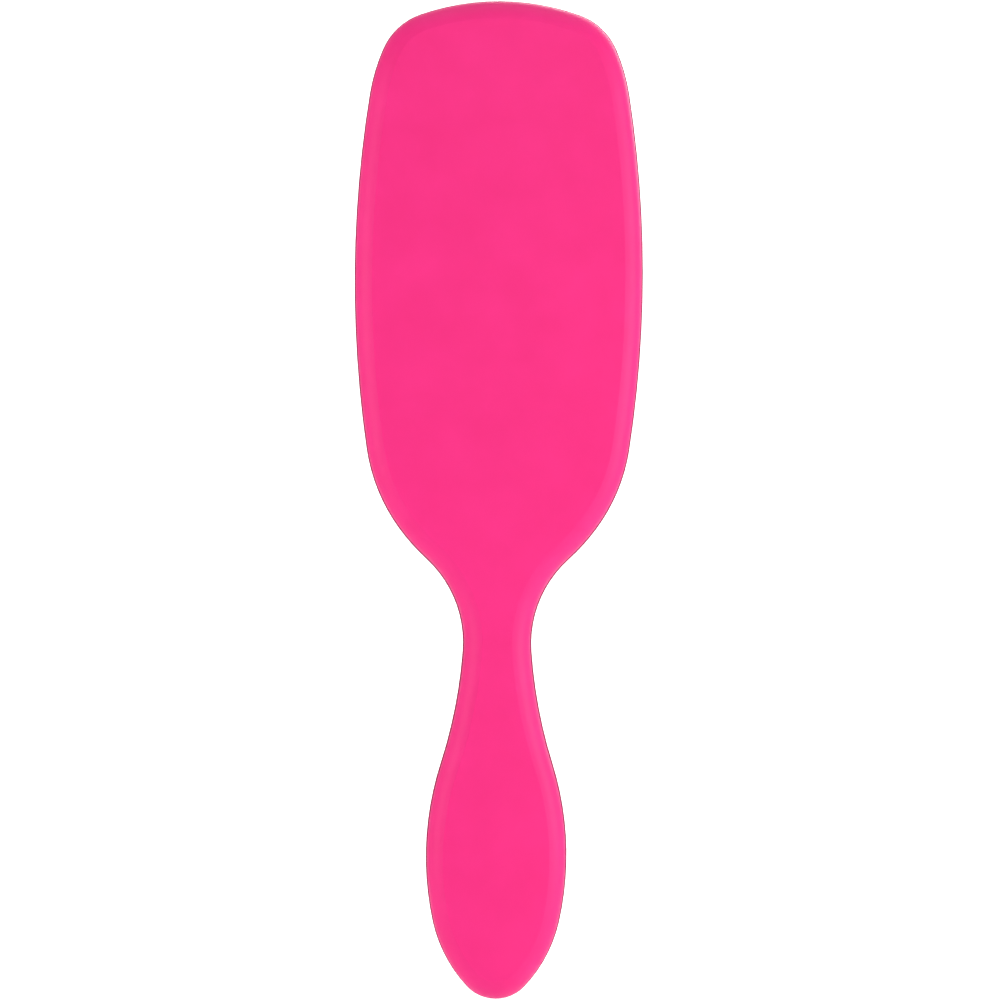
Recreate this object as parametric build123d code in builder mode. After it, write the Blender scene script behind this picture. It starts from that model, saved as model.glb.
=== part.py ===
"""Cushion hair brush: a hollow two-piece body with a sprung rubber cushion of nylon pins and bristle tufts.

Frame: X across the brush, +Y out through the bristles, +Z along the handle towards the head.
The origin is the centre of the grip, near the handle's widest point, on the plane where the two halves meet.
All sizes are in millimetres.
"""

import os
from math import sqrt

from build123d import *

os.makedirs("parts", exist_ok=True)

# --- Driving dimensions ----------------------------------------------------------------------------------
# An outline is its top z and then its right-hand edge, as tangent arcs from the top down: (radius, turn in
# degrees), where a positive turn is a bulge and a negative one a hollow. A last arc, centred on the brush's
# middle line, closes it round the bottom.
BODY = (
    189.2,
    [
        (53.2, 19.5),  # crown of the head
        (14.1, 46.9),  # corner of the head
        (41.4, 14.6),
        (260, 17.5),  # side of the head
        (39.7, 27.9),
        (46.9, 11.2),  # shoulder
        (25.2, -51.8),
        (109.5, -13.4),  # neck
        (67.7, 30.1),  # belly of the handle
        (30.9, 30.8),
    ],
)
# The opening that the cushion swells out of.
PAD = (182.7, [(47, 16), (11.8, 51.8), (34.7, 14.5), (283, 14), (35.8, 35.8), (11, 5.7)])

# Each half's face along the middle line, as (z, depth from the parting plane). The face is also arched
# across X, tightly at the handle's tip and ever more gently towards the head.
BACK_ARCH = [(-45, 7.6), (-15, 9.1), (15, 9.0), (46, 8.1), (85, 8.6), (130, 8.8), (165, 8.4), (200, 7.2)]
FRONT_ARCH = [(-45, 7.6), (-15, 9.5), (15, 9.2), (46, 7.5), (75, 6.5), (130, 6.4), (165, 6.4), (200, 6.3)]
TIP_Z = -33
ARCH_AT_TIP = 36  # radius of the arch across X at the handle's tip
ARCH_GROWTH = 1.8  # how much that radius grows with every millimetre towards the head
BACK_ROUND = 5.2  # rounding of the back's outer edge
CREASE_DEPTH = 0.1  # how far the back's face is cut into that rounding, which leaves a faint crease
FRONT_ROUND = 4.6  # rounding of the front's outer edge
BACK_SET_IN = 0.3  # how much narrower the back is than the front, all round
PARTING_CHAMFER = 0.3
OPENING_ROUND = 0.7
WALL = 2.2

TONGUE_OUT, TONGUE_IN = 1.3, 2.1  # the tongue's two faces, from the body's edge
TONGUE_HEIGHT, TONGUE_ROOT = 1.2, 1.0  # over the parting plane, and into the back's wall
FIT = 0.1  # clearance of the tongue in its rebate and of the pegs in their sockets
RIB = 1.2
RIB_NEAR_Y = 4.2  # how near to the parting plane the ribs come
RIB_MIDDLE_Z, RIB_LENGTH = 12, 78  # the rib along the handle
CROSS_RIB_LENGTH = 30
CROSS_RIBS = [-20, -4, 12, 28, 44]  # z of the ribs across the handle
LOOP_IN = 0.8  # from the base plate's edge to the rib loop under it
PEGS = [(0, -20), (0, 12), (0, 45)]  # (x, z) of the pegs that lock the halves together
PEG_R, PEG_END_Y = 1.5, -4.0
SOCKET_R, SOCKET_TOP_Y, SOCKET_FLOOR_Y = 2.7, -0.2, -4.4

CUSHION_WALL = 1.8
CUSHION_ROUND = 2.4
CROWN_Y = 11.2  # height of the cushion's crown over the parting plane
CROWN_ACROSS = 80  # radius of the crown across X
FLANGE = 2.5  # width of the rubber flange under the frame's lip
FLANGE_THICK = 1.5
LIP_Y = 3.9  # underside of the frame's lip
PLATE_THICK = 2.4
GAP = 0.25  # clearance of the cushion and its base plate inside the frame
VENT_R = 1.0
VENT_IN = 4.6  # from the opening's lower end to the vent

PITCH_X = 5.3  # spacing of the pins along a row
PITCH_Z = 5.0  # spacing of the rows; rows of pins and rows of tufts take turns
FIELD_MARGIN = 3.6  # from the opening's edge to the outermost pins
LEAN = 0.5  # how much of the rubber's slope a pin leans by
HEAD_TOP, HEAD_BOTTOM = -CUSHION_WALL - 0.4, -CUSHION_WALL - 1.1  # heads under the rubber
PIN_LENGTH = 17.0  # from the rubber to the middle of the ball tip
PIN_R, PIN_END_R, PIN_HEAD_R = 0.6, 0.42, 1.4
TIP_R, TIP_BORE = 0.85, 0.2  # ball tip, and how far past its middle the pin goes
TUFT_LENGTH = 13.0
TUFT_R, TUFT_END_R, TUFT_ROUND = 1.15, 1.85, 0.6
FERRULE_R, FERRULE_HEAD_R, FERRULE_TOP = 1.5, 2.0, 0.4
HOLE_PLAY = 0.15  # clearance of pins and ferrules in the rubber

# The field's zones, as strips along the brush: name, and outer limit as a share of the opening's half width.
ZONES = {"centre": 0.36, "inner": 0.57, "outer": 1.0}

# --- Places worked out from them -------------------------------------------------------------------------
BLOCK_HALF = 36  # half width of the block that the cushion's crown is turned on
REACH = 20  # further out than any face of the body
PLATE_FRONT_Y = LIP_Y - FLANGE_THICK
PLATE_BACK_Y = PLATE_FRONT_Y - PLATE_THICK


def outline(shape, y=0.0, grow=0.0):
    """The closed outline of a shape at height y, grown outward by grow."""
    top, arcs = shape
    with BuildSketch(Plane.XZ.offset(-y)) as sketch:
        with BuildLine():
            start, heading = Vector(0, top + grow), Vector(1, 0)
            for radius, turn in arcs:
                swell = grow if turn > 0 else -grow
                arc = JernArc(start, heading, radius + swell, -turn)
                start, heading = arc @ 1, arc % 1
            bottom_radius = -start.X / heading.Y
            bottom = (0, start.Y - bottom_radius * (1 + heading.X))
            RadiusArc(start, bottom, bottom_radius)
            mirror(about=Plane.YZ)
        make_face()
    return sketch.sketch


def slab(shape, low, high, grow=0.0):
    """An outline's solid between two heights."""
    base = outline(shape, low, grow)
    with BuildPart() as prism:
        extrude(base, amount=high - low, dir=(0, 1, 0))
    return prism.part


def arched_block(arch, side, inset):
    """A turned block whose skin on the given side is a half's arched face, moved in by inset.

    It turns about a leaning axis, which makes the arch's radius grow. The profile is drawn on the far side
    of that axis, so that the seam stays away from the brush.
    """
    origin = Vector(0, side * (arch[0][1] - ARCH_AT_TIP), TIP_Z)
    direction = Vector(0, -side * ARCH_GROWTH, 1).normalized()

    def turned(y, z):
        """A point's place along the axis and its distance from it."""
        arm = Vector(0, y, z) - origin
        along = arm.dot(direction)
        return along, (arm - direction * along).length

    skin = [turned(side * (depth - inset), z) for z, depth in arch]
    floor = [turned(-side, z) for z, depth in (arch[-1], arch[0])]
    with BuildPart() as block:
        with BuildSketch(Plane(origin=origin, x_dir=direction, z_dir=(side, 0, 0))):
            with BuildLine():
                Spline(*skin)
                Polyline(skin[-1], *floor, skin[0])
            make_face()
        revolve(axis=Axis(origin, direction))
    return block.part


def half_body(side, inset=0.0, crease=0.0):
    """The back (side -1) or front (side 1) half of the body, solid, with every face moved in by inset.

    Its face is rounded off and then cut back by crease.
    """
    arch, edge_round, set_in = (
        (BACK_ARCH, BACK_ROUND, BACK_SET_IN) if side < 0 else (FRONT_ARCH, FRONT_ROUND, 0)
    )
    base = outline(BODY, grow=-inset - set_in)
    rounded_skin, skin = arched_block(arch, side, inset - crease), arched_block(arch, side, inset)
    with BuildPart() as half:
        extrude(base, amount=REACH, dir=(0, side, 0))
        add(rounded_skin, mode=Mode.INTERSECT)
        arched_face = half.faces().sort_by(Axis.Y)[0 if side < 0 else -1]
        fillet(arched_face.edges(), edge_round - inset)
        if crease:
            add(skin, mode=Mode.INTERSECT)
    return half.part


def trimmed(core, face, side):
    """A face of an internal rib or post, extruded outward until it ends inside the wall."""
    with BuildPart() as rib:
        extrude(face, amount=REACH, dir=(0, side, 0))
        add(core, mode=Mode.INTERSECT)
    return rib.part


def inside_ribs(side, post_radius, post_near_y):
    """Stiffening ribs of one half's handle, and round posts at the pegs' places, ending within its wall."""
    with BuildSketch(Plane.XZ.offset(-side * RIB_NEAR_Y)) as long_rib:
        with Locations((0, RIB_MIDDLE_Z)):
            Rectangle(RIB, RIB_LENGTH)
    with BuildSketch(Plane.XZ.offset(-side * RIB_NEAR_Y)) as cross_ribs:
        with Locations(*[(0, z) for z in CROSS_RIBS]):
            Rectangle(CROSS_RIB_LENGTH, RIB)
    with BuildSketch(Plane.XZ.offset(-post_near_y)) as posts:
        with Locations(*PEGS):
            Circle(post_radius)
    core = half_body(side, WALL / 2)
    faces = [*long_rib.sketch.faces(), *cross_ribs.sketch.faces(), *posts.sketch.faces()]
    return [trimmed(core, face, side) for face in faces]


def rib_loop():
    """A wall inside the back that follows the edge of the cushion's base plate."""
    outer = slab(PAD, -REACH, PLATE_BACK_Y, FLANGE - LOOP_IN)
    inner = slab(PAD, -REACH, PLATE_BACK_Y, FLANGE - LOOP_IN - RIB)
    core = half_body(-1, WALL / 2)
    with BuildPart() as loop:
        add(outer)
        add(inner, mode=Mode.SUBTRACT)
        add(core, mode=Mode.INTERSECT)
    return loop.part


pad_box = outline(PAD).bounding_box()
PAD_MIDDLE_Z = pad_box.center().Z
PAD_HALF_X, PAD_HALF_Z = pad_box.size.X / 2, pad_box.size.Z / 2
VENT = (0, pad_box.min.Z + VENT_IN)


def crown_y(x):
    """Height of the cushion's outer face."""
    return CROWN_Y - CROWN_ACROSS + sqrt(CROWN_ACROSS**2 - x**2)


def crowned_block(inset):
    """A block whose skin is the cushion's crown, moved in by inset."""
    radius = CROWN_ACROSS - inset
    top_y = CROWN_Y - inset
    edge_y = top_y - radius + sqrt(radius**2 - BLOCK_HALF**2)
    with BuildPart() as block:
        with BuildSketch(Plane.XY.offset(PAD_MIDDLE_Z)):
            with BuildLine():
                ThreePointArc((-BLOCK_HALF, edge_y), (0, top_y), (BLOCK_HALF, edge_y))
                Polyline(
                    (BLOCK_HALF, edge_y), (BLOCK_HALF, -REACH), (-BLOCK_HALF, -REACH), (-BLOCK_HALF, edge_y)
                )
            make_face()
        extrude(amount=PAD_HALF_Z + 1, both=True)
    return block.part


def dome(inset=0.0):
    """The cushion's pillow, solid, with every face but the bottom moved in by inset."""
    base = slab(PAD, PLATE_FRONT_Y, REACH, -GAP - inset)
    skin = crowned_block(inset)
    with BuildPart() as pillow:
        add(base)
        add(skin, mode=Mode.INTERSECT)
        fillet(pillow.faces().sort_by(Axis.Y)[-1].edges(), CUSHION_ROUND - inset)
    return pillow.part


def field_rows(first):
    """Planes on the rubber for every second row of the field, by zone; their normals lean outward."""
    inside = outline(PAD, grow=-FIELD_MARGIN).face()
    rows, columns = int(PAD_HALF_Z / PITCH_Z), int(PAD_HALF_X / PITCH_X) + 1
    planes = {zone: [] for zone in ZONES}
    for row in range(first - rows - rows % 2, rows + 1, 2):
        z = PAD_MIDDLE_Z + row * PITCH_Z
        for column in range(-columns, columns + 1):
            x = (column + first / 2) * PITCH_X
            if inside.is_inside(Vector(x, 0, z)):
                zone = next(name for name, limit in ZONES.items() if abs(x) < limit * PAD_HALF_X)
                lean = Vector(LEAN * x / CROWN_ACROSS, 1, 0)
                planes[zone].append(Plane(origin=(x, crown_y(x), z), z_dir=lean))
    return planes


PIN_PLANES, TUFT_PLANES = field_rows(0), field_rows(1)

# --- Back shell: the smooth back of head and handle ------------------------------------------------------
back_solid, back_cavity = half_body(-1, crease=CREASE_DEPTH), half_body(-1, WALL)
tongue_outside = slab(BODY, -TONGUE_ROOT, TONGUE_HEIGHT, -TONGUE_OUT)
tongue_inside = slab(BODY, -TONGUE_ROOT, TONGUE_HEIGHT, -TONGUE_IN)
back_ribs = inside_ribs(-1, SOCKET_R, SOCKET_TOP_Y)
plate_rib = rib_loop()

with BuildPart() as back_shell:
    add(back_solid)
    chamfer(back_shell.faces().sort_by(Axis.Y)[-1].outer_wire().edges(), PARTING_CHAMFER)
    # Tongue that enters the front frame's rebate.
    add(tongue_outside)
    add(tongue_inside, mode=Mode.SUBTRACT)
    add(back_cavity, mode=Mode.SUBTRACT)
    # Ribs, and sockets for the front frame's pegs.
    for rib in back_ribs:
        add(rib)
    with BuildSketch(Plane.XZ.offset(-SOCKET_TOP_Y)):
        with Locations(*PEGS):
            Circle(PEG_R + FIT)
    extrude(amount=SOCKET_TOP_Y - SOCKET_FLOOR_Y, dir=(0, -1, 0), mode=Mode.SUBTRACT)
    # Rib loop that holds the cushion's base plate up against the frame.
    add(plate_rib)
back_shell.part.label = "back_shell"
export_step(back_shell.part, "parts/back_shell.step")

# --- Front frame: the handle's front and the rim round the cushion ---------------------------------------
front_solid, front_cavity = half_body(1), half_body(1, WALL)
opening = slab(PAD, -1, REACH)
rebate = slab(BODY, -1, TONGUE_HEIGHT + FIT, FIT - TONGUE_OUT)
flange_seat = slab(PAD, -1, LIP_Y, FLANGE + GAP)
front_ribs = inside_ribs(1, PEG_R, RIB_NEAR_Y)

with BuildPart() as front_frame:
    add(front_solid)
    chamfer(front_frame.faces().sort_by(Axis.Y)[0].outer_wire().edges(), PARTING_CHAMFER)
    add(opening, mode=Mode.SUBTRACT)
    rim_face = front_frame.faces().filter_by(lambda face: face.inner_wires()).sort_by(Axis.Y)[-1]
    fillet(rim_face.inner_wires()[0].edges(), OPENING_ROUND)
    add(front_cavity, mode=Mode.SUBTRACT)
    # Rebate for the back shell's tongue, and a flat seat under the lip for the cushion's flange.
    add(rebate, mode=Mode.SUBTRACT)
    add(flange_seat, mode=Mode.SUBTRACT)
    # Ribs and pegs.
    for rib in front_ribs:
        add(rib)
    with BuildSketch(Plane.XZ.offset(-PEG_END_Y)):
        with Locations(*PEGS):
            Circle(PEG_R)
    extrude(amount=RIB_NEAR_Y - PEG_END_Y, dir=(0, 1, 0))
front_frame.part.label = "front_frame"
export_step(front_frame.part, "parts/front_frame.step")

# --- Cushion: the rubber pillow, its flange clamped under the frame's lip --------------------------------
pillow_outside, pillow_inside = dome(), dome(CUSHION_WALL)
flange = slab(PAD, PLATE_FRONT_Y, LIP_Y, FLANGE)

with BuildPart() as cushion:
    add(pillow_outside)
    add(flange)
    add(pillow_inside, mode=Mode.SUBTRACT)
    with BuildSketch(Plane.XZ):
        with Locations(VENT):
            Circle(VENT_R)
    extrude(amount=REACH, dir=(0, 1, 0), mode=Mode.SUBTRACT)
    for planes, radius in ((PIN_PLANES, PIN_R), (TUFT_PLANES, FERRULE_R)):
        with Locations(*sum(planes.values(), [])):
            Cylinder(radius + HOLE_PLAY, 3 * CUSHION_WALL, mode=Mode.SUBTRACT)
cushion.part.label = "cushion"
export_step(cushion.part, "parts/cushion.step")

# --- Base plate: the stiff floor of the air chamber -------------------------------------------------------
plate = slab(PAD, PLATE_BACK_Y, PLATE_FRONT_Y, FLANGE)

with BuildPart() as base_plate:
    add(plate)
    with BuildSketch(Plane.XZ):
        with Locations(VENT):
            Circle(VENT_R)
    extrude(amount=REACH, dir=(0, 1, 0), mode=Mode.SUBTRACT)
base_plate.part.label = "base_plate"
export_step(base_plate.part, "parts/base_plate.step")

# --- One pin, ball tip, tuft and ferrule, standing on the rubber along Z ----------------------------------
with BuildPart() as pin:
    with BuildSketch(Plane.XZ):
        with BuildLine():
            Polyline(
                (0, HEAD_BOTTOM),
                (PIN_HEAD_R, HEAD_BOTTOM),
                (PIN_HEAD_R, HEAD_TOP),
                (PIN_R, HEAD_TOP),
                (PIN_R, 0),
                (PIN_END_R, PIN_LENGTH - TIP_R),
                (PIN_END_R, PIN_LENGTH + TIP_BORE),
                (0, PIN_LENGTH + TIP_BORE),
                close=True,
            )
        make_face()
    revolve(axis=Axis.Z)

with BuildPart() as tip:
    with Locations((0, 0, PIN_LENGTH)):
        Sphere(TIP_R)
        Cylinder(PIN_END_R, TIP_R, align=(Align.CENTER, Align.CENTER, Align.MAX), mode=Mode.SUBTRACT)
        Cylinder(PIN_END_R, TIP_BORE, align=(Align.CENTER, Align.CENTER, Align.MIN), mode=Mode.SUBTRACT)

with BuildPart() as tuft:
    with BuildSketch(Plane.XZ):
        with BuildLine():
            Polyline(
                (0, -CUSHION_WALL),
                (TUFT_R, -CUSHION_WALL),
                (TUFT_R, FERRULE_TOP),
                (TUFT_END_R, TUFT_LENGTH),
                (0, TUFT_LENGTH),
                close=True,
            )
        make_face()
    revolve(axis=Axis.Z)
    fillet(tuft.faces().sort_by(Axis.Z)[-1].edges(), TUFT_ROUND)

with BuildPart() as ferrule:
    with BuildSketch(Plane.XZ):
        with BuildLine():
            Polyline(
                (0, HEAD_BOTTOM),
                (FERRULE_HEAD_R, HEAD_BOTTOM),
                (FERRULE_HEAD_R, HEAD_TOP),
                (FERRULE_R, HEAD_TOP),
                (FERRULE_R, FERRULE_TOP),
                (TUFT_R, FERRULE_TOP),
                (TUFT_R, -CUSHION_WALL),
                (0, -CUSHION_WALL),
                close=True,
            )
        make_face()
    revolve(axis=Axis.Z)

# --- The field, zone by zone ------------------------------------------------------------------------------
for zone in ZONES:
    for kind, solid, planes in (
        ("pins", pin, PIN_PLANES),
        ("tips", tip, PIN_PLANES),
        ("tufts", tuft, TUFT_PLANES),
        ("ferrules", ferrule, TUFT_PLANES),
    ):
        with BuildPart() as group:
            with Locations(*planes[zone]):
                add(solid.part)
        group.part.label = f"{kind}_{zone}"
        export_step(group.part, f"parts/{kind}_{zone}.step")
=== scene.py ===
"""Looks of a cushion hair brush: satin plastic body, rubber cushion, nylon pins, bristle tufts."""

import math
import random

import bpy
import numpy as np
from mathutils import Matrix, Vector, geometry


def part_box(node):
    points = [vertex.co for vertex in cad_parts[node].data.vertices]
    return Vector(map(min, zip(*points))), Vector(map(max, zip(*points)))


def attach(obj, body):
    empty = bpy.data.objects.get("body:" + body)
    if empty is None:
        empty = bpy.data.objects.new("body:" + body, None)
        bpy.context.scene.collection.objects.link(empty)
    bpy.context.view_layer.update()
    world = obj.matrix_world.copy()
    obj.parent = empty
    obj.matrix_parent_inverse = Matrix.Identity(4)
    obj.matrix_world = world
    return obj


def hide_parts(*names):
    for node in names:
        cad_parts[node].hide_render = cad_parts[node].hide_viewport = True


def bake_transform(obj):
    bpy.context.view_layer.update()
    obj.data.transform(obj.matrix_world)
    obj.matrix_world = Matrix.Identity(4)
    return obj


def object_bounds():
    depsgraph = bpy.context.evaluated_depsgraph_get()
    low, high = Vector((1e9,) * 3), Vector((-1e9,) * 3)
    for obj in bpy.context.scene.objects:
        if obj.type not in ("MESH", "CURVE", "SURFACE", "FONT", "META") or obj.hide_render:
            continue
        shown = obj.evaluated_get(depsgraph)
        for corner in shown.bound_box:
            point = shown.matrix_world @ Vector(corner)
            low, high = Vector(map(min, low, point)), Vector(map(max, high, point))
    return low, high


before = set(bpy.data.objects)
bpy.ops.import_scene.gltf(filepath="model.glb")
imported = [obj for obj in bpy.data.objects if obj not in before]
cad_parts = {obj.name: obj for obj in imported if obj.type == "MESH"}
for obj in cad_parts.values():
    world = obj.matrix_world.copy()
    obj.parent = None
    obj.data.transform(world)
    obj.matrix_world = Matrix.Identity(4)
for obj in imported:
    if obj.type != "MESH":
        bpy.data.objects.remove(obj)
cad_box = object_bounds()
random.seed(7)

ZONES = ("centre", "inner", "outer")
MM = 0.001

# --- Mesh helpers ---------------------------------------------------------------------------------


def vertex_points(mesh):
    """A mesh's vertices as an array with one row for each."""
    points = np.empty(len(mesh.vertices) * 3)
    mesh.vertices.foreach_get("co", points)
    return points.reshape(-1, 3)


def new_piece(name, points, faces, material):
    """A smooth-shaded object made from points and faces, linked to the scene."""
    mesh = bpy.data.meshes.new(name)
    mesh.from_pydata(points, [], faces)
    mesh.shade_smooth()
    mesh.materials.append(material)
    piece = bpy.data.objects.new(name, mesh)
    bpy.context.collection.objects.link(piece)
    return piece


# --- Node helpers ---------------------------------------------------------------------------------


def new_material(name):
    """A node material, its tree and its Principled shader."""
    material = bpy.data.materials.new(name)
    material.use_nodes = True
    tree = material.node_tree
    return material, tree, tree.nodes["Principled BSDF"]


def add_node(tree, kind, **inputs):
    """A node with its inputs set by name; underscores stand for spaces."""
    node = tree.nodes.new(kind)
    for key, value in inputs.items():
        node.inputs[key.replace("_", " ")].default_value = value
    return node


def set_inputs(shader, **inputs):
    """Sets a shader's own sockets by name; underscores stand for spaces."""
    for key, value in inputs.items():
        shader.inputs[key.replace("_", " ")].default_value = value


def object_noise(tree, scale, detail=3.0, roughness=0.5):
    """Noise over the object's own coordinates, in cycles per metre."""
    place = tree.nodes.new("ShaderNodeTexCoord")
    texture = add_node(tree, "ShaderNodeTexNoise", Scale=scale, Detail=detail, Roughness=roughness)
    tree.links.new(place.outputs["Object"], texture.inputs["Vector"])
    return texture.outputs["Fac"]


def object_axes(tree):
    """The object's own coordinates, one output for each axis."""
    place = tree.nodes.new("ShaderNodeTexCoord")
    axes = tree.nodes.new("ShaderNodeSeparateXYZ")
    tree.links.new(place.outputs["Object"], axes.inputs["Vector"])
    return axes.outputs


def absolute(tree, value):
    """A value without its sign."""
    node = tree.nodes.new("ShaderNodeMath")
    node.operation = "ABSOLUTE"
    tree.links.new(value, node.inputs[0])
    return node.outputs["Value"]


def remap(tree, value, low, high):
    """A value from 0..1 spread between low and high."""
    node = add_node(tree, "ShaderNodeMapRange", To_Min=low, To_Max=high)
    tree.links.new(value, node.inputs["Value"])
    return node.outputs["Result"]


def smooth_fade(tree, value, start, end, first, last):
    """Turns smoothly from first to last while a value goes from start to end."""
    limits = {"From_Min": start, "From_Max": end, "To_Min": first, "To_Max": last}
    node = add_node(tree, "ShaderNodeMapRange", **limits)
    node.interpolation_type = "SMOOTHSTEP"
    tree.links.new(value, node.inputs["Value"])
    return node.outputs["Result"]


def mixed_colour(tree, value, first, second):
    """A colour between two, by value."""
    node = tree.nodes.new("ShaderNodeMix")
    node.data_type = "RGBA"
    node.inputs["A"].default_value = (*first, 1)
    node.inputs["B"].default_value = (*second, 1)
    tree.links.new(value, node.inputs["Factor"])
    return node.outputs["Result"]


def bumps(tree, shader, layers):
    """Stacks bump layers, each (height, strength, distance in metres), onto a shader's normal."""
    normal = None
    for height, strength, distance in layers:
        bump = add_node(tree, "ShaderNodeBump", Strength=strength, Distance=distance)
        tree.links.new(height, bump.inputs["Height"])
        if normal:
            tree.links.new(normal, bump.inputs["Normal"])
        normal = bump.outputs["Normal"]
    tree.links.new(normal, shader.inputs["Normal"])


# --- Materials ------------------------------------------------------------------------------------
# Noise scales are in cycles per metre. A remap to below 0 or above 1 sharpens the mottling, because
# a mix of two colours stops at 0 and 1.

# Painted shadow along the seam between the two halves of the body, set by distance from the parting
# plane.
GROOVE_SHADE_FULL, GROOVE_SHADE_NONE = 0.22 * MM, 0.36 * MM  # the shadow colour's distance from the parting plane
NYLON_PALER, NYLON_LIFT = 1.7, 0.01  # the flow marks' colour is the nylon's, times and plus these
HAIR_STOPS = (
    (0.0, (0.010, 0.006, 0.004)),
    (0.45, (0.035, 0.018, 0.010)),
    (1.0, (0.16, 0.085, 0.042)),
)


def parting_shade_mask(tree):
    """Where painted shade darkens the seam between the two halves of the body: 1 at the seam, and 0
    away from it.
    """
    away = absolute(tree, object_axes(tree)["Y"])
    return smooth_fade(tree, away, GROOVE_SHADE_FULL, GROOVE_SHADE_NONE, 1, 0)


def satin_plastic(name, colour, deep, groove_shade):
    """Soft-touch coated plastic: fine orange peel, faint mottling, a satin sheen, and painted shade
    along the seam where the two halves meet.
    """
    material, tree, shader = new_material(name)
    mottle = object_noise(tree, 90, 4)
    skin = mixed_colour(tree, remap(tree, mottle, -0.4, 1.3), deep, colour)
    # Painted shade: a dark copy of the body colour along the seam where the two halves meet.
    body = tree.nodes.new("ShaderNodeMix")
    body.data_type = "RGBA"
    body.inputs["B"].default_value = (*groove_shade, 1)
    tree.links.new(skin, body.inputs["A"])
    tree.links.new(parting_shade_mask(tree), body.inputs["Factor"])
    tree.links.new(body.outputs["Result"], shader.inputs["Base Color"])
    tree.links.new(remap(tree, object_noise(tree, 240, 5), 0.4, 0.52), shader.inputs["Roughness"])
    set_inputs(
        shader,
        Specular_IOR_Level=0.2,
        Subsurface_Weight=0.06,
        Subsurface_Radius=(1.0, 0.25, 0.3),
        Subsurface_Scale=1.2 * MM,
    )
    grain = object_noise(tree, 4200, 2)
    peel = object_noise(tree, 420, 2)
    bumps(tree, shader, [(peel, 0.12, 0.05 * MM), (grain, 0.2, 0.015 * MM)])
    return material


def rubber(name, colour, dusty):
    """Moulded rubber: matte, slightly bloomed, with a fine pebbled skin."""
    material, tree, shader = new_material(name)
    bloom = object_noise(tree, 140, 6, 0.6)
    colour_out = mixed_colour(tree, remap(tree, bloom, -0.5, 1.4), colour, dusty)
    tree.links.new(colour_out, shader.inputs["Base Color"])
    tree.links.new(remap(tree, bloom, 0.5, 0.72), shader.inputs["Roughness"])
    set_inputs(
        shader,
        Specular_IOR_Level=0.35,
        Sheen_Weight=0.05,
        Sheen_Roughness=0.4,
        Subsurface_Weight=0.1,
        Subsurface_Radius=(1.0, 0.3, 0.35),
        Subsurface_Scale=1.5 * MM,
    )
    bumps(tree, shader, [(object_noise(tree, 1500, 3), 0.35, 0.05 * MM)])
    return material


def moulded_nylon(name, colour, rough):
    """Moulded nylon: smooth with faint flow marks."""
    material, tree, shader = new_material(name)
    flow = object_noise(tree, 600, 4)
    paler = tuple(min(1, channel * NYLON_PALER + NYLON_LIFT) for channel in colour)
    colour_out = mixed_colour(tree, remap(tree, flow, -0.3, 1.0), colour, paler)
    tree.links.new(colour_out, shader.inputs["Base Color"])
    tree.links.new(remap(tree, flow, rough * 0.8, rough * 1.3), shader.inputs["Roughness"])
    bumps(tree, shader, [(object_noise(tree, 2500, 2), 0.15, 0.01 * MM)])
    return material


def boar_bristle(name):
    """Boar hair: dark brown roots, paler and redder towards some tips, with a soft gloss."""
    material, tree, shader = new_material(name)
    attribute = tree.nodes.new("ShaderNodeAttribute")
    attribute.attribute_name = "hair_tone"
    ramp = tree.nodes.new("ShaderNodeValToRGB")
    ramp.color_ramp.elements.new(HAIR_STOPS[1][0])
    for element, (place, colour) in zip(ramp.color_ramp.elements, HAIR_STOPS):
        element.position = place
        element.color = (*colour, 1)
    tree.links.new(attribute.outputs["Fac"], ramp.inputs["Fac"])
    tree.links.new(ramp.outputs["Color"], shader.inputs["Base Color"])
    set_inputs(shader, Roughness=0.42, Specular_IOR_Level=0.4)
    bumps(tree, shader, [(object_noise(tree, 6000, 2), 0.2, 0.01 * MM)])
    return material


BODY_PINK = satin_plastic(
    "body_satin_pink",
    colour=(0.89, 0.026, 0.228),
    deep=(0.84, 0.021, 0.200),
    # The third colour is painted shade along the seam between the two halves.
    groove_shade=(0.28, 0.002, 0.06),
)
CUSHION_PINK = rubber("cushion_rubber_pink", colour=(0.76, 0.014, 0.14), dusty=(0.78, 0.032, 0.175))
PIN_BLACK = moulded_nylon("pin_nylon_black", (0.012, 0.012, 0.013), 0.34)
TIP_BLACK = moulded_nylon("tip_nylon_black", (0.010, 0.010, 0.011), 0.18)
FERRULE_BLACK = moulded_nylon("ferrule_nylon_black", (0.014, 0.014, 0.015), 0.45)
PLATE_GREY = moulded_nylon("base_plate_grey", (0.42, 0.42, 0.40), 0.5)
BRISTLE = boar_bristle("boar_bristle_brown")


def dress(node_name, material):
    """Gives a CAD node its material."""
    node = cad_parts[node_name]
    node.data.materials.clear()
    node.data.materials.append(material)


dress("back_shell", BODY_PINK)
dress("front_frame", BODY_PINK)
dress("base_plate", PLATE_GREY)
for zone in ZONES:
    dress(f"pins_{zone}", PIN_BLACK)
    dress(f"ferrules_{zone}", FERRULE_BLACK)

# --- Cushion: the rubber pillow with a soft collar round every pin and ferrule --------------------
# Its flat outline and its thickness
RING_POINTS = 400  # points round the outline
ABOVE_FLANGE = 0.2 * MM  # the outline is that of the wall from this far over the flange
WALL = 1.8 * MM
FLANGE, FLANGE_THICK = 2.6 * MM, 1.45 * MM
CROWN_ACROSS = 80 * MM  # radius of the crown's arch from side to side
SPINE_SHORT = 22 * MM  # how far the spine that the rings close on stays from each end
SPINE_SHARES = np.linspace(0.98, 0, 12)  # the rings' places between the spine and the rounded edge
EDGE_ROUND = 2.6 * MM
EDGE_TURNS = np.linspace(0.15, 1, 7)  # the rings' places in the edge's quarter turn
INNER_ROUND = 0.5  # share of the wall by which the inner skin's round is smaller
# Its remesh
VOXEL = 0.43 * MM
SMOOTHING, SMOOTH_STEPS = 0.5, 4
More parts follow.
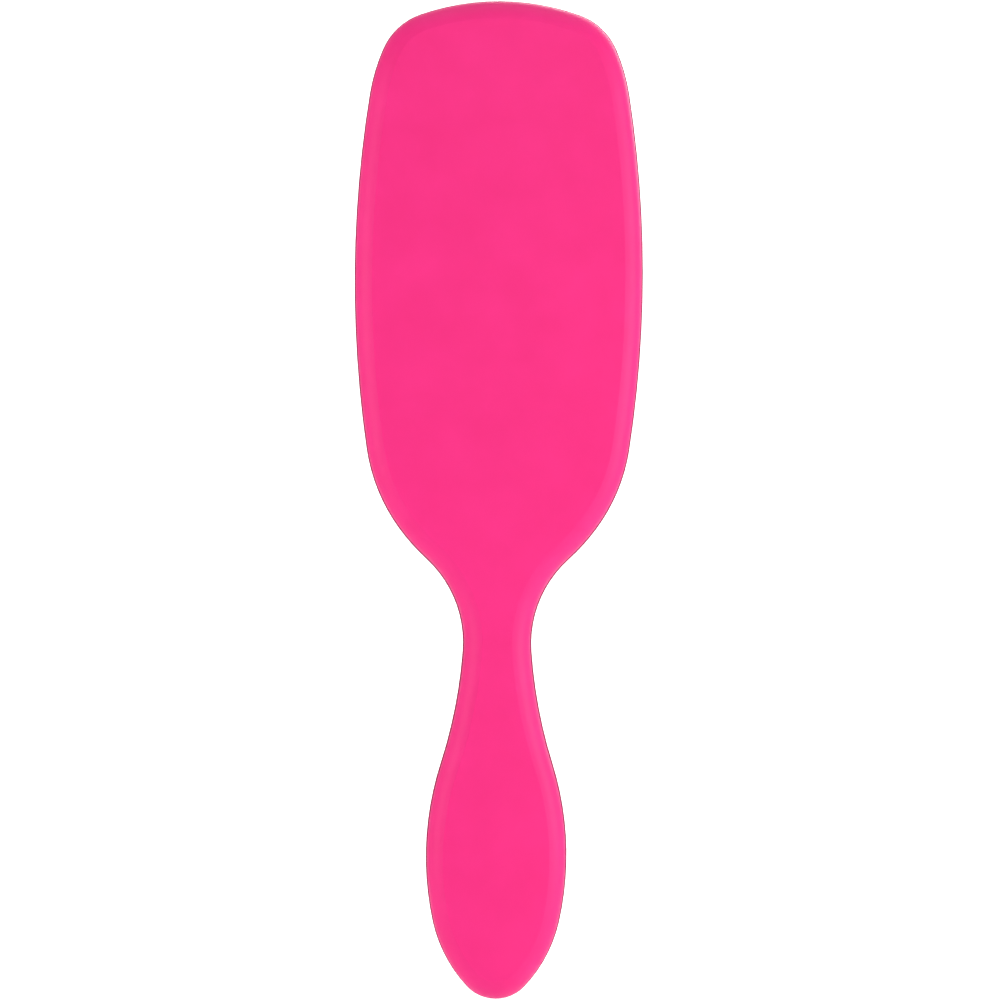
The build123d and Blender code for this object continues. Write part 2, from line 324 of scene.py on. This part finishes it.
# The shape of its face, which is what lies higher than FACE_SHARE of the way up from the flange
FACE_SHARE = 0.35
END_DROP = 1.5 * MM  # how much lower the rubber is at its two ends than along the middle
END_LENGTH = 22 * MM
COLLAR, COLLAR_SLOPE = 0.3 * MM, 0.5 * MM  # height of each collar, and its slope's width
COLLAR_FADE = 0.5  # share of the collar's height that is gone at the ends
FAR = 1.0  # metres: far more than any collar reaches
PIN_COLLAR_R, TUFT_COLLAR_R = 0.75 * MM, 1.65 * MM
CUP_R, CUP_DEPTH = 1.42 * MM, 3.4 * MM
VENT_IN, VENT_R, VENT_DEPTH = 4.6 * MM, 0.9 * MM, 1.2 * MM
VENT_RIM = 1.6  # where the vent's dimple starts, in its radii

# Share of a pin's or tuft's length that is under the rubber's face
PIN_SUNK, TUFT_SUNK = 2.9 / 20.1, 1.8 / 14.8


def split_by_gap(points, axis, gap=0.5 * MM):
    """Groups of points with a clear gap between them along one axis."""
    ordered = points[np.argsort(points[:, axis])]
    breaks = np.where(np.diff(ordered[:, axis]) > gap)[0] + 1
    return np.split(ordered, breaks)


def axes_of(node_name):
    """The foot and crown of each separate turned solid in a node, on the solid's own axis."""
    axes = []
    for row in split_by_gap(vertex_points(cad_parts[node_name].data), 2):
        for solid in split_by_gap(row, 0):
            solid = np.unique(solid.round(7), axis=0)
            centre = solid.mean(0)
            along = np.linalg.svd(solid - centre, full_matrices=False)[2][0]
            along *= np.sign(along[1])
            reach = (solid - centre) @ along
            axes.append((centre + along * reach.min(), centre + along * reach.max()))
    return axes


def places_of(axes, sunk):
    """Where each pin or tuft leaves the rubber."""
    return np.array([foot + (crown - foot) * sunk for zone in ZONES for foot, crown in axes[zone]])


PIN_AXES = {zone: axes_of(f"pins_{zone}") for zone in ZONES}
TUFT_AXES = {zone: axes_of(f"tufts_{zone}") for zone in ZONES}
PIN_PLACES, TUFT_PLACES = places_of(PIN_AXES, PIN_SUNK), places_of(TUFT_AXES, TUFT_SUNK)


def pillow_rings(mesh, low, high):
    """The rubber's closed skin as rings of points, from its underside's middle to its crown."""
    points = vertex_points(mesh)
    wall = points[points[:, 1] > low.y + FLANGE_THICK + ABOVE_FLANGE][:, [0, 2]]
    hull = wall[geometry.convex_hull_2d([Vector(point) for point in wall])]
    closed = np.vstack([hull, hull[:1]])
    walked = np.concatenate([[0], np.cumsum(np.hypot(*np.diff(closed, axis=0).T))])
    steps = np.linspace(0, walked[-1], RING_POINTS, endpoint=False)
    edge = np.column_stack([np.interp(steps, walked, closed[:, axis]) for axis in (0, 1)])
    heading = np.roll(edge, -1, 0) - np.roll(edge, 1, 0)
    inward = np.column_stack([-heading[:, 1], heading[:, 0]])
    inward /= np.hypot(*inward.T)[:, None]
    middle = edge.mean(0)
    inward *= np.sign(((middle - edge) * inward).sum(1).mean())
    spine_half = (edge[:, 1].max() - edge[:, 1].min()) / 2 - SPINE_SHORT
    spine_z = middle[1] + np.clip(edge[:, 1] - middle[1], -spine_half, spine_half)
    spine = np.column_stack([0 * edge[:, 0], spine_z])

    def ring(inset, share, depth=None, height=None):
        """Points inset from the edge, then share of the way to the spine.

        They lie at a depth under the crown, or at a height.
        """
        flat = edge + inward * inset
        flat = flat + (spine - flat) * share
        crown = high.y - CROWN_ACROSS + np.sqrt(CROWN_ACROSS**2 - flat[:, 0] ** 2)
        y = np.full(RING_POINTS, height) if height is not None else crown - depth
        return np.column_stack([flat[:, 0], y, flat[:, 1]])

    def skin(thick):
        """Rings from the spine out over the round edge, of a skin moved in by thick."""
        rings = [ring(thick + EDGE_ROUND, share, thick) for share in SPINE_SHARES]
        round_by = EDGE_ROUND - thick * INNER_ROUND
        for turn in EDGE_TURNS * math.pi / 2:
            inset = thick + round_by * (1 - math.sin(turn))
            rings.append(ring(inset, 0, thick + round_by * (1 - math.cos(turn))))
        return rings

    seat = low.y + FLANGE_THICK
    foot = [ring(WALL, 0, height=low.y), ring(-FLANGE, 0, height=low.y)]
    flange_top = [ring(-FLANGE, 0, height=seat), ring(0, 0, height=seat)]
    return skin(WALL) + foot + flange_top + skin(0)[::-1]


def remeshed_pillow(rings):
    """The rings joined into one closed skin, remeshed finely and smoothed."""
    last = (len(rings) - 1) * RING_POINTS
    faces = [tuple(range(RING_POINTS)), tuple(range(last, last + RING_POINTS))]
    for base in range(0, last, RING_POINTS):
        for index in range(RING_POINTS):
            a, b = base + index, base + (index + 1) % RING_POINTS
            faces.append((a, b, b + RING_POINTS, a + RING_POINTS))
    mesh = bpy.data.meshes.new("cushion_rubber")
    mesh.from_pydata(np.vstack(rings), [], faces)
    cushion = bpy.data.objects.new("cushion_rubber", mesh)
    bpy.context.collection.objects.link(cushion)
    remesh = cushion.modifiers.new("remesh", "REMESH")
    remesh.mode, remesh.voxel_size = "VOXEL", VOXEL
    smooth = cushion.modifiers.new("smooth", "SMOOTH")
    smooth.factor, smooth.iterations = SMOOTHING, SMOOTH_STEPS
    evaluated = cushion.evaluated_get(bpy.context.evaluated_depsgraph_get())
    shaped = bpy.data.meshes.new_from_object(evaluated)
    cushion.modifiers.clear()
    cushion.data = shaped
    return cushion


def shape_face(points, low, high):
    """Lowers the rubber's ends, and adds the collars, the cups under the ferrules and the vent."""

    def distance_from(place):
        return np.hypot(points[:, 0] - place[0], points[:, 2] - place[2])

    middle_z = (low.z + high.z) / 2
    height = np.clip((points[:, 1] - low.y - FLANGE_THICK) / (high.y - low.y - FLANGE_THICK), 0, 1)
    face = height > FACE_SHARE
    past = np.abs(points[:, 2] - middle_z) - (high.z - middle_z) + END_LENGTH
    past = np.clip(past / END_LENGTH, 0, 1)
    points[:, 1] -= END_DROP * past**2 * height
    for places, radius in ((PIN_PLACES, PIN_COLLAR_R), (TUFT_PLACES, TUFT_COLLAR_R)):
        nearest = np.full(len(points), FAR)
        for place in places:
            nearest = np.minimum(nearest, np.maximum(distance_from(place) - radius, 0))
        collar = COLLAR * np.exp(-((nearest / COLLAR_SLOPE) ** 2))
        points[:, 1] += collar * face * (1 - past**2 * COLLAR_FADE)
    # The rubber dips under each ferrule, so that its cup stands clear.
    for place in TUFT_PLACES:
        points[:, 1] -= CUP_DEPTH * (distance_from(place) < CUP_R) * face
    from_vent = np.hypot(points[:, 0], points[:, 2] - low.z - FLANGE - VENT_IN)
    points[:, 1] -= VENT_DEPTH * np.clip(VENT_RIM - from_vent / VENT_R, 0, 1) * face


def make_cushion():
    """The rubber pillow as one piece, with its rim staying put."""
    low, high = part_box("cushion")
    cushion = remeshed_pillow(pillow_rings(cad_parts["cushion"].data, low, high))
    points = vertex_points(cushion.data)
    shape_face(points, low, high)
    cushion.data.vertices.foreach_set("co", points.ravel())
    cushion.data.shade_smooth()
    cushion.data.materials.append(CUSHION_PINK)
    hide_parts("cushion")
    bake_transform(cushion)


make_cushion()

# --- Ball tips: moulded beads with a short neck down the pin --------------------------------------
TIP_BORE = 0.2 * MM  # how far past the ball's middle its pin ends
TIP_R = 0.85 * MM
TIP_SIDES = 20
# (distance from the ball's middle along the pin, radius), as shares of the ball's radius
NECK = [(-1.75, 0.5), (-1.68, 0.56), (-1.35, 0.58), (-1.05, 0.62), (-0.9, 0.68)]
BEAD = [(-math.cos(turn), math.sin(turn)) for turn in np.linspace(0.72, math.pi - 0.12, 13)]
TIP_PROFILE = NECK + BEAD


def make_tips(zone):
    """Every ball tip of one zone as one piece."""
    points, faces = [], []
    for foot, crown in PIN_AXES[zone]:
        along = Vector(crown - foot).normalized()
        middle = Vector(crown) - along * TIP_BORE
        side = along.orthogonal().normalized()
        other = along.cross(side)
        base = len(points)
        for reach, radius in TIP_PROFILE:
            for corner in range(TIP_SIDES):
                angle = corner * math.tau / TIP_SIDES
                out = side * math.cos(angle) + other * math.sin(angle)
                points.append(middle + (along * reach + out * radius) * TIP_R)
        for ring in range(len(TIP_PROFILE) - 1):
            for corner in range(TIP_SIDES):
                a = base + ring * TIP_SIDES + corner
                b = base + ring * TIP_SIDES + (corner + 1) % TIP_SIDES
                faces.append((a, b, b + TIP_SIDES, a + TIP_SIDES))
        faces.append(tuple(range(base + TIP_SIDES - 1, base - 1, -1)))
        faces.append(tuple(range(len(points) - TIP_SIDES, len(points))))
    tips = new_piece(f"ball_tips_{zone}", points, faces, TIP_BLACK)
    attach(tips, f"field_{zone}")
    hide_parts(f"tips_{zone}")


for zone in ZONES:
    make_tips(zone)

# --- Tufts: bundles of separate boar hairs --------------------------------------------------------
HAIRS = 44  # in each tuft
HAIR_STEPS = 6
HAIR_SIDES = 3
HAIR_RADIUS = 0.095 * MM
HAIR_TAPER = 0.55  # share of its radius that a hair loses towards its tip
ROOT = 1.6 * MM  # from the bottom of the ferrule's cup to the hairs' roots
ROOT_SPREAD = 1.0 * MM  # radius of the bundle at its roots
DOMED = 0.05  # share by which the outer hairs are shorter
GOLDEN_ANGLE = math.radians(137.508)
# What differs from hair to hair: (least, most)
LEAN = (-0.3, 0.3)  # of a whole tuft, in mm
LENGTH_SHARE = (0.82, 1.0)
FLARE = (0.25, 0.65)  # mm outwards at the tip
BOW = (-0.12, 0.3)  # mm outwards along the hair
RADIUS_SHARE = (0.8, 1.15)
# A hair's tone at a point: the least, what it gains towards the tip, and what the whole hair gains
TONE_LEAST, TONE_TIP, TONE_HAIR = 0.25, 0.55, 0.15


def add_hair(mesh_data, foot, tip, sag, radius, tone):
    """One tapered three-sided hair from foot to tip, bowed sideways by sag."""
    along = (tip - foot).normalized()
    side = along.orthogonal().normalized()
    other = along.cross(side)
    points, faces, tones = mesh_data
    base = len(points)
    for step in range(HAIR_STEPS + 1):
        share = step / HAIR_STEPS
        middle = foot.lerp(tip, share) + sag * math.sin(share * math.pi) * share
        wide = radius * (1 - HAIR_TAPER * share**2)
        for corner in range(HAIR_SIDES):
            angle = corner * math.tau / HAIR_SIDES + tone
            points.append(middle + (side * math.cos(angle) + other * math.sin(angle)) * wide)
            tones.append(TONE_LEAST + TONE_TIP * tone * share + TONE_HAIR * tone)
    for step in range(HAIR_STEPS):
        for corner in range(HAIR_SIDES):
            a = base + step * HAIR_SIDES + corner
            b = base + step * HAIR_SIDES + (corner + 1) % HAIR_SIDES
            faces.append((a, b, b + HAIR_SIDES, a + HAIR_SIDES))
    end = base + HAIR_STEPS * HAIR_SIDES
    faces.append((base + 2, base + 1, base))
    faces.append((end, end + 1, end + 2))


def make_tufts(zone):
    """Every tuft of one zone as one piece."""
    mesh_data = ([], [], [])
    for ends in TUFT_AXES[zone]:
        foot, crown = (Vector(end) for end in ends)
        foot += (crown - foot).normalized() * ROOT
        axis = crown - foot
        length = axis.length
        axis.normalize()
        side = axis.orthogonal().normalized()
        other = axis.cross(side)
        lean = Vector((random.uniform(*LEAN), 0, random.uniform(*LEAN))) * MM
        for index in range(HAIRS):
            spread = math.sqrt((index + 0.5) / HAIRS)
            angle = index * GOLDEN_ANGLE
            outward = side * math.cos(angle) + other * math.sin(angle)
            start = foot + outward * spread * ROOT_SPREAD
            reach = length * random.uniform(*LENGTH_SHARE) * (1 - DOMED * spread**2)
            end = start + axis * reach + outward * spread * random.uniform(*FLARE) * MM + lean
            sag = outward * random.uniform(*BOW) * MM
            radius = HAIR_RADIUS * random.uniform(*RADIUS_SHARE)
            add_hair(mesh_data, start, end, sag, radius, random.random())
    points, faces, tones = mesh_data
    bristles = new_piece(f"bristles_{zone}", points, faces, BRISTLE)
    tone_of_point = bristles.data.attributes.new("hair_tone", "FLOAT", "POINT")
    tone_of_point.data.foreach_set("value", tones)
    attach(bristles, f"field_{zone}")
    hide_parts(f"tufts_{zone}")


for zone in ZONES:
    make_tufts(zone)

# --- Stage, light and camera, in metres -----------------------------------------------------------
low, high = cad_box
middle = (Vector(low) + Vector(high)) / 2
FLOOR_Z = low[2] - 120 * MM
STAGE_HALF = 4.0  # half of the stage's width, and how far it goes in front of the brush
SWEEP_START, SWEEP_R, SWEEP_TOP = 3.0, 1.0, 4.0  # where the floor curves up, its radius and its top
GLOW_BEHIND = (0.9, 1.7, 0, 0.95)  # distance behind the brush: start, end, and the glow at each
GLOW_ASIDE = (0.6, 1.2, 1, 0)  # distance to the side: start, end, and the share of the glow at each

# (name, place from the middle of the brush, size, watts)
LIGHTS = (
    ("key_right", (0.44, -0.185, 0.03), 0.34, 1.45),
    ("fill_left", (-0.44, -0.185, 0.03), 0.34, 1.0),
    ("behind_camera", (0.2, -1.9, 0.7), 1.0, 5),
    ("top", (0.0, -0.1, 1.0), 0.9, 2),
    ("front_bristles", (0.4, 0.9, 0.5), 0.8, 6),
)
WORLD_STRENGTH = 0.5

CAMERA_DISTANCE = 1.6
CAMERA_ASIDE = 0.5 * MM
FAR_CLIP = 20
ROLL = math.radians(0.26)
FILL = 0.998  # share of the picture's height that the brush takes up
SENSOR = 36  # mm, as the lens is


def stage_material():
    """A pale matte surface that glows in the middle of the backdrop.

    Only the middle shines, so that the brush's edges don't mirror a white surround.
    """
    material, tree, shader = new_material("stage_white")
    set_inputs(shader, Base_Color=(0.88, 0.88, 0.88, 1), Emission_Color=(1, 1, 1, 1))
    axes = object_axes(tree)
    glow = tree.nodes.new("ShaderNodeMath")
    glow.operation = "MULTIPLY"
    tree.links.new(smooth_fade(tree, axes["Y"], *GLOW_BEHIND), glow.inputs[0])
    tree.links.new(smooth_fade(tree, absolute(tree, axes["X"]), *GLOW_ASIDE), glow.inputs[1])
    tree.links.new(glow.outputs["Value"], shader.inputs["Emission Strength"])
    tree.links.new(remap(tree, object_noise(tree, 30, 2), 0.88, 0.95), shader.inputs["Roughness"])
    return material


def make_stage():
    """A pale floor that curves up into a backdrop behind the bristles."""
    profile = [(-STAGE_HALF, 0.0), (SWEEP_START, 0.0)]
    for turn in np.linspace(0.1, math.pi / 2, 14):
        profile.append((SWEEP_START + SWEEP_R * math.sin(turn), SWEEP_R - SWEEP_R * math.cos(turn)))
    profile.append((SWEEP_START + SWEEP_R, SWEEP_TOP))
    points = [(x, y, FLOOR_Z + z) for x in (-STAGE_HALF, STAGE_HALF) for y, z in profile]
    count = len(profile)
    faces = [(i, i + 1, count + i + 1, count + i) for i in range(count - 1)]
    new_piece("stage_sweep", points, faces, stage_material())


def area_light(name, place, size, power):
    """A square soft light aimed at the middle of the brush."""
    data = bpy.data.lights.new(name, "AREA")
    data.size = size
    data.energy = power
    light = bpy.data.objects.new(name, data)
    light.location = middle + Vector(place)
    light.rotation_euler = (middle - light.location).to_track_quat("-Z", "Y").to_euler()
    bpy.context.collection.objects.link(light)


def make_world():
    """An even white surround."""
    world = bpy.data.worlds.new("studio")
    bpy.context.scene.world = world
    world.use_nodes = True
    set_inputs(world.node_tree.nodes["Background"], Color=(1, 1, 1, 1), Strength=WORLD_STRENGTH)


def make_camera():
    """A camera square to the brush's back, with the photograph's small roll and offset."""
    data = bpy.data.cameras.new("camera")
    camera = bpy.data.objects.new("camera", data)
    bpy.context.collection.objects.link(camera)
    data.sensor_width = SENSOR
    data.clip_end = FAR_CLIP
    data.lens = SENSOR * FILL * CAMERA_DISTANCE / (high[2] - low[2])
    camera.location = (CAMERA_ASIDE, -CAMERA_DISTANCE, middle.z)
    camera.rotation_euler = Matrix.Rotation(math.pi / 2, 3, "X").to_euler()
    camera.rotation_euler.rotate_axis("Z", ROLL)
    bpy.context.scene.camera = camera


make_stage()
for light in LIGHTS:
    area_light(*light)
make_world()
make_camera()
bpy.context.scene.view_settings.view_transform = "Standard"
